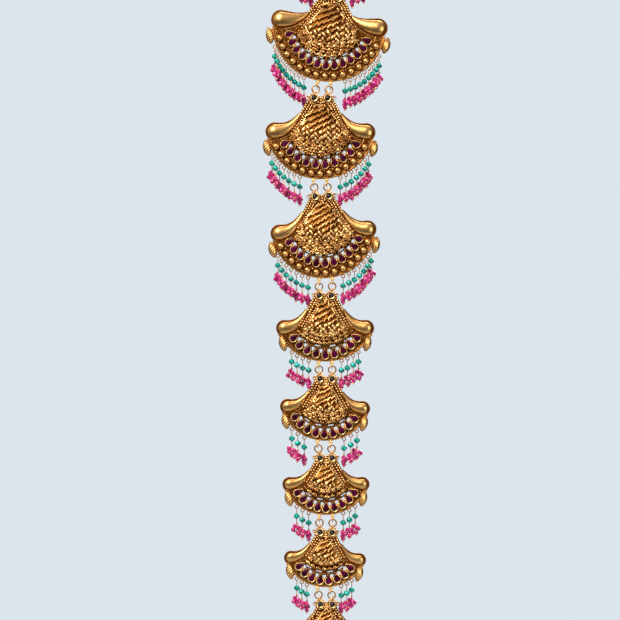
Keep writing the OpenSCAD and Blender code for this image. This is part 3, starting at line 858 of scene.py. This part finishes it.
def add_scales(form, p, rng):
    """Slanting rows of curved scales over the dome, with pointed ones below."""
    wide, stray, waver = (0.05 * p.width, 0.14, 8) if p.large else (0.054 * p.width, 0.2, 16)
    low, high = (-0.36 * p.width, p.arc_y - p.dome_ring), (0.36 * p.width, DOME_APEX)
    spots = lattice(low, high, wide * 0.85, wide * 0.92, 26.0)
    spots = spots + rng.uniform(-stray, stray, spots.shape)
    us, vs = p.dome_place(spots)[:2]
    kept = (np.abs(us) < p.flank - 0.02) & (vs > -0.05) & (vs < SCALES_END + 0.04)
    order = np.argsort(spots[kept][:, 1])
    curved = scale_form(wide * 1.35, wide * 0.84, 0.4 * wide)
    pointed = petal_form(wide * 1.4, wide * 0.75, 0.36 * wide, 8)
    for u, v, x in zip(us[kept][order], vs[kept][order], spots[kept][order][:, 0]):
        if v < POINTED_FROM + rng.uniform(-0.06, 0.06):
            shape, turn = curved, -50 + 20 * u + 16 * v + rng.uniform(-waver, waver)
        else:
            lean = 34 if math.floor(x / (0.85 * wide)) % 2 else -38
            shape, turn = pointed, lean + rng.uniform(-12, 12)
        local = place(0, 0, 0, turn - DOME_HALF * u, rng.uniform(0.85, 1.12), tilt=-6)
        at = p.dome_frame(float(u), float(np.clip(v, 0.02, 1))) @ local
        form.stamp(shape, [at], rng.uniform(-0.3, 0.05))


def add_florets(form, p, rng):
    """Rows of florets round the dome's foot."""
    floret = floret_form()
    size = 1.25 if p.large else 1.0
    depth = p.dome_reach(0, p.dome_ring) - DOME_START
    rows = max(2, int(round(depth * (1 - SCALES_END) / 1.6)))
    for v in np.linspace(SCALES_END + 0.04, 0.97, rows):
        length = 2 * math.radians(DOME_HALF * p.flank) * (DOME_START + depth * v)
        count = int(round(length / (2.7 * size)))
        start = rng.uniform(0.2, 0.8)
        for j in range(count):
            u = (2 * (j + start) / count - 1) * p.flank
            turn, grown = rng.uniform(-20, 20), size * rng.uniform(0.85, 1.1)
            local = place(0, 0.3, 0.2, turn, grown, -90 * (v - SCALES_END))
            form.stamp(floret, [p.dome_frame(u, v) @ local], rng.uniform(-0.35, 0.0))


def add_flanks(form, p, rng):
    """Wires round the scales, and grains on the upper part of the dome's flanks."""
    grain = bead_form(0.6, 9, 6, 0.2, 1.0, -35)
    foot = [p.dome_point(u, SCALES_END + 0.02) + [0, 0, 0.7]
            for u in np.linspace(-p.flank, p.flank, 60)]
    wire(form, foot, 0.28, wear_and_shading=0.95, sides=7)
    for side in SIDES:
        edge = [p.dome_point(side * p.flank, v) + [0, 0, 0.15] for v in np.linspace(0, 0.95, 40)]
        wire(form, edge, 0.28, wear_and_shading=0.9, sides=7)
        for row in range(3):
            for r in np.arange(DOME_START + 0.3 + 0.65 * (row % 2), 0.5 * p.width, 1.3):
                u = p.flank + math.degrees((0.75 + 1.25 * row) / r) / DOME_HALF
                depth = p.dome_reach(u * DOME_HALF, p.dome_ring) - DOME_START
                v = (r - DOME_START) / depth
                if u < 1 and v < FLANK_GRAINS:
                    at = p.dome_frame(side * u, v) @ place(0, 0, 0.1)
                    form.stamp(grain, [at], rng.uniform(-0.2, 0.0))


def rope(form, path, r):
    """Two strands twisted round a path in the paper's plane."""
    path = np.asarray(path, float)
    side = np.cross(unit(np.gradient(path, axis=0)), UP)
    for phase in (0, np.pi):
        a = (lengths_along(path) / (r * 2.2) * np.pi + phase)[:, None]
        strand = path + r * 0.5 * (side * np.cos(a) + np.array(UP) * np.sin(a))
        wire(form, strand, r * 0.55, wear_and_shading=0.7, sides=6)


def pear_outline(grow, steps=18):
    """Pear outline with its point to +Y, anticlockwise from the point."""
    r = PEAR_R + grow
    tip = PEAR_TIP * r / PEAR_R
    a = math.acos(r / tip)
    arc = [(-r * math.sin(t), r * math.cos(t)) for t in np.linspace(a, 2 * math.pi - a, steps)]
    side = [(-r * math.sin(a) * s, tip + (r * math.cos(a) - tip) * s) for s in (0.33, 0.66)]
    other = [(-x, y) for x, y in side[::-1]]
    return [(0, tip)] + side + arc + other


def bezel_form():
    """Metal round a pear stone: a wall with a rounded, bright rim."""
    form = Form()
    path = [(x, y, 0) for x, y in pear_outline(0.34, 22)]
    sweep(form, path, BEZEL_SECTION, BEZEL_WEAR_AND_SHADING, closed=True)
    return form


def bezels(p):
    """Bezels of the pears, and the two cups with grains round them."""
    form = Form()
    form.stamp(bezel_form(), [place(*p.by_pears(a), 0, a, PEAR_SIZE) for a in p.pear_angles()])
    form.scatter(revolved(CUP, 28, CUP_WEAR_AND_SHADING), [(s * p.stone_x, 0) for s in SIDES], 0)
    grain = bead_form(0.5, 8, 6, 0.2, 0.95)
    r = CUP_GRAINS_R
    for side in SIDES:
        around = [(side * p.stone_x + r * math.cos(a), r * math.sin(a))
                  for a in np.arange(14) * math.pi / 7]
        form.scatter(grain, [q for q in around if side * q[0] > 0.6], 0.6)
    return form


def bare_plate(p, spots, room):
    """Which spots of the paper lie on plate that nothing else covers, with room round them."""
    free = np.ones(len(spots), bool)
    left = lobe_outline(p, -0.2)
    for shift in ((room, 0), (-room, 0), (0, room), (0, -room)):
        free &= inside(spots + shift, plate_outline(p))
        for outline in (left, mirrored(left)):
            free &= ~inside(spots + shift, outline)
    us, vs, r = p.dome_place(spots)
    away = np.hypot(spots[:, 0], spots[:, 1] - p.arc_y)
    free &= ~((np.abs(us) < 1.02) & (vs < 1) & (r > DOME_START - 0.2))
    free &= ~((np.abs(away - p.dome_ring) < 0.7) & (np.abs(us) < 2.2) & (spots[:, 1] < p.arc_y))
    free &= np.hypot(np.abs(spots[:, 0]) - p.stone_x, spots[:, 1]) > 2.2
    free &= away < p.arc - RIM_W - 0.6
    pears = [placed(p.by_pears(a), a, pear_outline(0.55, 12)) for a in p.pear_angles()]
    for outline in pears + gap_outlines(p, 1.45):
        free &= ~inside(spots, outline)
    if p.large:
        free &= np.abs(away - (p.arc - RIDGE_IN)) > 0.45
        for a in p.ball_angles():
            free &= np.hypot(*(spots - p.on_arc(p.arc - BALLS_IN, a)).T) > 2.3
    return free


def add_neck_rows(form, p, rng):
    """Rows of grains that follow the neck's outline down both sides."""
    grain = bead_form(0.65, 9, 6, 0.15, 1.0, -35)
    tail = p.lobe_mid(0.9) * [-1, 1]
    under = p.lobe_mid(0.75) * [-1, 1] - [0, p.lobe_half(0.75)]
    edge = smooth_path([(p.stone_x + 1.2, 1.3), *p.neck_side(), tail, under], 40)
    along = unit(np.gradient(edge, axis=0))
    inward = np.stack([along[:, 1], -along[:, 0]], 1)
    gone = lengths_along(edge)
    for row in range(5):
        line = edge + inward * (0.7 + 1.32 * row)
        at = np.arange(0.66 * (row % 2), gone[-1], 1.36)
        spots = np.stack([np.interp(at, gone, line[:, n]) for n in (0, 1)], 1)
        spots = spots[bare_plate(p, spots, 0.05)]
        for side in SIDES:
            form.scatter(grain, spots * [side, 1], 0.75, rng.uniform(-0.15, 0.1, len(spots)))


def add_ground(form, p, rng):
    """Fine grains over the rest of the bare plate."""
    spots = lattice([-p.width / 2, -p.height], [p.width / 2, 1.0], 1.12, 0.98, 12.0)
    spots = spots + rng.uniform(-0.1, 0.1, spots.shape)
    spots = spots[bare_plate(p, spots, 0.3) & (spots[:, 1] < p.tail[1] - 0.5)]
    grain = bead_form(0.46, 7, 4, 0.0, 0.65, -20)
    form.scatter(grain, spots, 0.5, rng.uniform(-0.25, 0.1, len(spots)))


def add_sprigs(form, p):
    """Bent wires beside each cup."""
    share = 0.85 if p.large else 0.62
    for side in SIDES:
        for rise, length, bow in SPRIGS:
            start = np.array([p.stone_x + 2.0, 0.0]) + turned(rise * 0.6, (0.1, 0))
            end = start + turned(rise, (length * share, 0))
            middle = (start + end) / 2 + turned(rise, (0, bow))
            line = smooth_path([start, middle, end], 6)
            wire(form, [(side * x, y, 0.45) for x, y in line], 0.26, wear_and_shading=0.45,
                 size=np.linspace(1.15, 0.6, len(line)))


def neck(p, seed):
    """Grains down the neck and over the bare plate, and the sprigs."""
    form = Form()
    rng = np.random.default_rng(seed)
    add_neck_rows(form, p, rng)
    grain = bead_form(0.62, 9, 6, 0.2, 1.0, -35)
    form.scatter(grain, [(0, 0.1), (0, -1.1), (0, -2.3)], 0.7)
    add_ground(form, p, rng)
    add_sprigs(form, p)
    return form


def leaf_point(s, t, side):
    """A point of a leaf at s along and t across (-1 to 1), and how far out of a groove it is."""
    x, y = s * LEAF_HALF_LENGTH, t * LEAF_HALF_WIDTH * (1 - abs(s) ** 2.2)
    groove = abs(math.sin(math.pi * (s * 3.0 + t * (1.45 + 0.55 * side)))) ** 0.7
    z = math.sqrt(max(0, LEAF_DOME_R ** 2 - x * x - y * y)) - LEAF_DOME_SINK
    z = max(0.1, z * (1 - abs(t) ** 4 * 0.5)) - 0.5 * (1 - groove) * (1 - abs(t) ** 3)
    return (x, y, z if abs(s) < 1 and abs(t) < 1 else 0.0), groove


def leaf_form(side):
    """A ridged leaf with a flat back and a wire along each edge."""
    nu, nv = 49, 13
    points, wear_and_shading = [], []
    for s in 2 * np.arange(nu) / (nu - 1) - 1:
        for t in 2 * np.arange(nv) / (nv - 1) - 1:
            point, groove = leaf_point(s, t, side)
            points.append(point)
            # Dark in the grooves and at the edges, bright on the ridges: patina with painted shade,
            # rubbed metal with a painted highlight
            wear_and_shading.append(0.85 * groove if abs(t) < 0.95 else 0.2)
    foot = np.multiply(points, (1, 1, 0))
    leaf = Form().add(points, [grid_faces(nu, nv)[:, ::-1]], wear_and_shading)
    leaf.add(foot - [0, 0, PLATE_FRONT], [grid_faces(nu, nv)], 0.4)
    for edge in (foot[nv:-nv:nv], foot[-nv - 1:nv:-nv]):
        wire(leaf, edge, 0.25, wear_and_shading=0.4, sides=6)
    return leaf


def leaves(p):
    """Ridged leaves that close the ends of the curved edge."""
    form = Form()
    out, lower = (1.6, 0.0) if p.large else (0.5, 2.0)
    angle = p.half - math.degrees(math.asin(LEAF_HALF_LENGTH / p.arc)) - lower
    for side in SIDES:
        x, y = p.on_arc(p.arc + out, side * angle)
        form.stamp(leaf_form(side), [place(x, y, 0, side * LEAF_SLOPE)])
    return form


def fittings(p, last):
    """Bails at the top, lugs with flower caps at the bottom, and the rings along the edge."""
    form = Form()
    for side in SIDES:
        x, y = side * EYE_X, -p.height - LUG_DROP
        ring(form, x, BAIL_UP, EYE_R, EYE_WIRE, wear_and_shading=0.75, sides=10, steps=24)
        form.scatter(bead_form(0.75, 10, 6, 0.5, 0.9), [(x, 1.5)], 0.3)
        if not last:
            ring(form, x, y, EYE_R, EYE_WIRE, wear_and_shading=0.75, sides=10, steps=24)
            form.scatter(flower_form(), [(x, y + LUG_DROP - 0.4)], 0)
    for side in SIDES:
        for a in p.drop_angles():
            x, y = p.on_arc(p.arc + EDGE_RING_R, side * a)
            ring(form, x, y, EDGE_RING_R, EDGE_RING_WIRE, 0.5, sides=6, steps=18, across=False)
    return form


def flower_form():
    """A ball with petals round it."""
    form = bead_form(0.95, 12, 8, 0.4, 0.95)
    petal = bead_form(0.42, 8, 6, 0.5, 0.95)
    return form.scatter(petal, [polar(0.75, a) for a in 90 + 60 * np.arange(6)], 0.45)


# ---- stones and drops ----

def pear_stone_form():
    """Pear-cut stone: girdle, two tiers of facets and a table."""
    base = np.array(pear_outline(0.14, 10))
    n = len(base)
    half_way = (base + np.roll(base, -1, 0)) / 2
    rings = [(base, 1.0, 1.1), (base, 1.0, 1.9), (half_way, 0.84, 2.42), (base, 0.58, 2.7)]
    points = [(x * size, y * size, z) for line, size, z in rings for x, y in line]
    j = np.arange(n)
    k = (j + 1) % n
    girdle = np.stack([j, k, n + k, n + j], 1)
    corners = ((n + j, n + k, 2 * n + j), (n + k, 2 * n + k, 2 * n + j),
               (2 * n + j, 2 * n + k, 3 * n + k), (2 * n + j, 3 * n + k, 3 * n + j))
    facets = np.concatenate([np.stack(three, 1) for three in corners])
    return Form().add(points, [girdle, facets, 3 * n + j[None], j[None, ::-1]], 0.5)


def rubies(p):
    rng = np.random.default_rng(60 + p.number)
    spots = [place(*p.by_pears(a), 0, a, PEAR_SIZE, rng.uniform(-3, 3)) for a in p.pear_angles()]
    return Form().stamp(pear_stone_form(), spots)


def cabochons(p):
    r, top = CABOCHON_R, CABOCHON_TOP
    round_top = [(r * math.cos(a), top + 0.85 * math.sin(a)) for a in np.radians([20, 40, 60, 78])]
    profile = [(0, 2.2), (r, 2.2), (r, top), *round_top, (0, top + 0.85)]
    stone = revolved(profile, 24, [0.5] * len(profile))
    return Form().scatter(stone, [(s * p.stone_x, 0) for s in SIDES], 0)


def faceted_bead(r, half, segs):
    """A cut bead about Z with a belt and two tiers of facets."""
    profile = [(0, -half), (0.5 * r, -half), (0.92 * r, -0.45 * half), (r, 0), (0.92 * r, 0.45 * half),
               (0.5 * r, half), (0, half)]
    return revolved(profile, segs, [0.5] * len(profile))


def drop_matrices(p):
    """Where each drop hangs: its matrix has Y up the drop, from its eye."""
    out = []
    for side in SIDES:
        for i, a in enumerate(p.drop_angles()):
            at = p.on_arc(p.arc + EDGE_RING_R, side * a) + turned(-p.roll, (0, -EDGE_RING_R))
            out.append(place(*at, 0, -p.roll, tilt=-DROP_LEAN if i % 2 else DROP_LEAN))
    return out


AXIS_TO_Y = np.array(Matrix.Rotation(math.radians(-90), 4, "X"))


def drop_wires():
    """Eye, stem, four coils and the link of one drop, hanging down -Y from its eye."""
    form = Form()
    ring(form, 0, 0, 0.5, 0.15, wear_and_shading=0.5, sides=6, steps=14)
    wire(form, [(0, -0.5, 0), (0, -PINK_AT - 1.0, 0)], 0.17, wear_and_shading=0.5, sides=6)
    for y0 in (-0.7, -GREEN_AT + 1.35, -GREEN_AT - 1.35, -PINK_AT + 1.9):
        coil = [(0.2 * math.cos(t), y0 - 0.05 * t, 0.2 * math.sin(t))
                for t in np.linspace(0, 12.5, 20)]
        wire(form, coil, 0.1, wear_and_shading=0.5, sides=5, up=(0, 1, 0))
    middle = -(GREEN_AT + PINK_AT) / 2
    ring(form, 0, middle, 0.42, 0.14, wear_and_shading=0.5, sides=6, steps=14, across=False)
    return form


def drop_parts(seed, spread):
    """Wires, green bead and cluster of pink beads of one drop."""
    rng = np.random.default_rng(seed)
    metal, green, pink = drop_wires(), Form(), Form()
    cap = bead_form(0.52, 7, 5, 0.4, 0.95)
    at = place(0, -GREEN_AT, 0, rng.uniform(-8, 8))
    green.stamp(faceted_bead(1.55, 1.25, 12), [at @ AXIS_TO_Y])
    for dx, dy, dz, turn in CLUSTER:
        x = spread * (dx + rng.uniform(-0.25, 0.25))
        y = -PINK_AT + dy + rng.uniform(-0.25, 0.25)
        stem = [(0, -PINK_AT + 2.6, 0), (x * 0.7, y + 1.1, dz), (x, y, dz)]
        wire(metal, stem, 0.09, wear_and_shading=0.9, sides=5)
        m = place(x, y, dz, turn + rng.uniform(-12, 12)) @ AXIS_TO_Y
        pink.stamp(faceted_bead(1.17, 1.1, 10), [m])
        tip = m @ np.array([0, 0, -1.4, 1])
        metal.stamp(cap, [place(*tip[:3])])
    return metal, green, pink


def fringe(p):
    """All the drops of a plaque as three forms, with a slim cluster at each inner end."""
    parts = Form(), Form(), Form()
    spread = 1.15 if p.large else 1.45
    kinds = [drop_parts(seed, spread) for seed in range(6)]
    slim = drop_parts(6, 0.4)
    for n, m in enumerate(drop_matrices(p)):
        innermost = n % p.drops == p.drops - 1
        chosen = slim if innermost else kinds[(n * 2 + p.number) % len(kinds)]
        for form, kind in zip(parts, chosen):
            form.stamp(kind, [m])
    return parts


def build_plaque(p, last):
    """All pieces of a plaque, each in place of the CAD nodes that it covers."""
    tag = "_%d" % p.number
    metal, stones = ["plaque" + tag], ["stones" + tag]
    drops = ["fringe_left" + tag, "fringe_right" + tag]
    wires, green, pink = fringe(p)
    pieces = [
        ("plate", plate(p), ANTIQUE, "gold", metal),
        ("body", dome(p, 10 + p.number), ANTIQUE, "gold", metal),
        ("lobes", lobes(p), POLISHED, "bright_gold", metal, 80.0),
        ("bezels", bezels(p), BRIGHT, "bright_gold", metal),
        ("neck", neck(p, 40 + p.number), ANTIQUE, "gold", metal),
        ("leaves", leaves(p), BRIGHT, "bright_gold", metal),
        ("fittings", fittings(p, last), BRIGHT, "bright_gold", metal),
    ]
    if p.large:
        pieces.append(("balls", ball_row(p), ANTIQUE, "gold", metal))
    pieces += [
        ("rubies", rubies(p), RUBY, "ruby", stones, 5.0),
        ("cabochons", cabochons(p), GARNET, "garnet", stones),
        ("drop_wires", wires, BRIGHT, "gold_wire", drops),
        ("green_beads", green, GREEN, "green_bead", drops, 20.0),
        ("pink_beads", pink, PINK, "pink_bead", drops, 20.0),
    ]
    for name, form, *rest in pieces:
        piece(name + tag, form, p, *rest)


# ---- stage ----

def add_camera():
    data = bpy.data.cameras.new("camera")
    data.sensor_width = SENSOR_WIDTH
    data.lens = SENSOR_WIDTH * VIEW_DISTANCE / VIEW_WIDTH
    data.clip_start = 0.05
    made = bpy.data.objects.new("camera", data)
    made.location = VIEW_CENTRE + Vector((0, -VIEW_DISTANCE, 0))
    made.rotation_euler = (math.radians(90), 0, 0)
    bpy.context.scene.collection.objects.link(made)
    bpy.context.scene.camera = made


def area_light(name, at, size, power, colour):
    data = bpy.data.lights.new(name, "AREA")
    data.size = size
    data.energy = power
    data.color = colour
    made = bpy.data.objects.new(name, data)
    made.location = Vector(at)
    aim = Vector(LIGHTS_AIM) - made.location
    made.rotation_euler = aim.to_track_quat("-Z", "Y").to_euler()
    bpy.context.scene.collection.objects.link(made)


def studio_light(tree):
    """Colour of the light from each direction: bright above, dark below."""
    where = node(tree, "ShaderNodeTexCoord")
    toward = node(tree, "ShaderNodeVectorMath", operation="DOT_PRODUCT")
    toward.inputs[1].default_value = STUDIO_UP
    tree.links.new(where.outputs["Generated"], toward.inputs[0])
    spread = node(tree, "ShaderNodeMapRange", **{"From Min": -0.75, "From Max": 0.75})
    tree.links.new(toward.outputs["Value"], spread.inputs["Value"])
    return ramp(tree, spread.outputs[0], STUDIO_STOPS, STUDIO_COLOURS)


def add_world():
    """A plain pale backdrop to the eye, and a studio as the light."""
    world = bpy.data.worlds.new("studio")
    world.use_nodes = True
    tree = world.node_tree
    link = tree.links.new
    back = fill(tree.nodes["Background"], Strength=1.0)
    link(studio_light(tree), back.inputs["Color"])
    seen = node(tree, "ShaderNodeBackground", Color=BACKDROP, Strength=1.0)
    rays = node(tree, "ShaderNodeLightPath")
    mix = node(tree, "ShaderNodeMixShader")
    link(rays.outputs["Is Camera Ray"], mix.inputs[0])
    link(back.outputs[0], mix.inputs[1])
    link(seen.outputs[0], mix.inputs[2])
    link(mix.outputs[0], tree.nodes["World Output"].inputs["Surface"])
    bpy.context.scene.world = world


def add_floor():
    bpy.ops.mesh.primitive_circle_add(vertices=64, radius=0.4, fill_type="NGON",
                                      location=(0, 0, FLOOR_Z))
    floor = bpy.context.object
    floor.name = "floor"
    made, _, shader = new_material("pale_floor")
    fill(shader, Roughness=0.8, **{"Base Color": FLOOR_COLOUR})
    floor.data.materials.append(made)


bpy.context.scene.view_settings.view_transform = "Standard"
add_camera()
add_world()
add_floor()
for light in LIGHTS:
    area_light(*light)

plaques = [Plaque(k + 1, row, frame["joints"][k]["pos_m"]) for k, row in enumerate(TABLE)]
for plaque in plaques:
    build_plaque(plaque, plaque.number == len(plaques))

for name, part in frame["nodes"].items():
    if name.startswith("rings") or name == "hair_loop":
        part.data.materials.clear()
        part.data.materials.append(WIRE_GOLD)
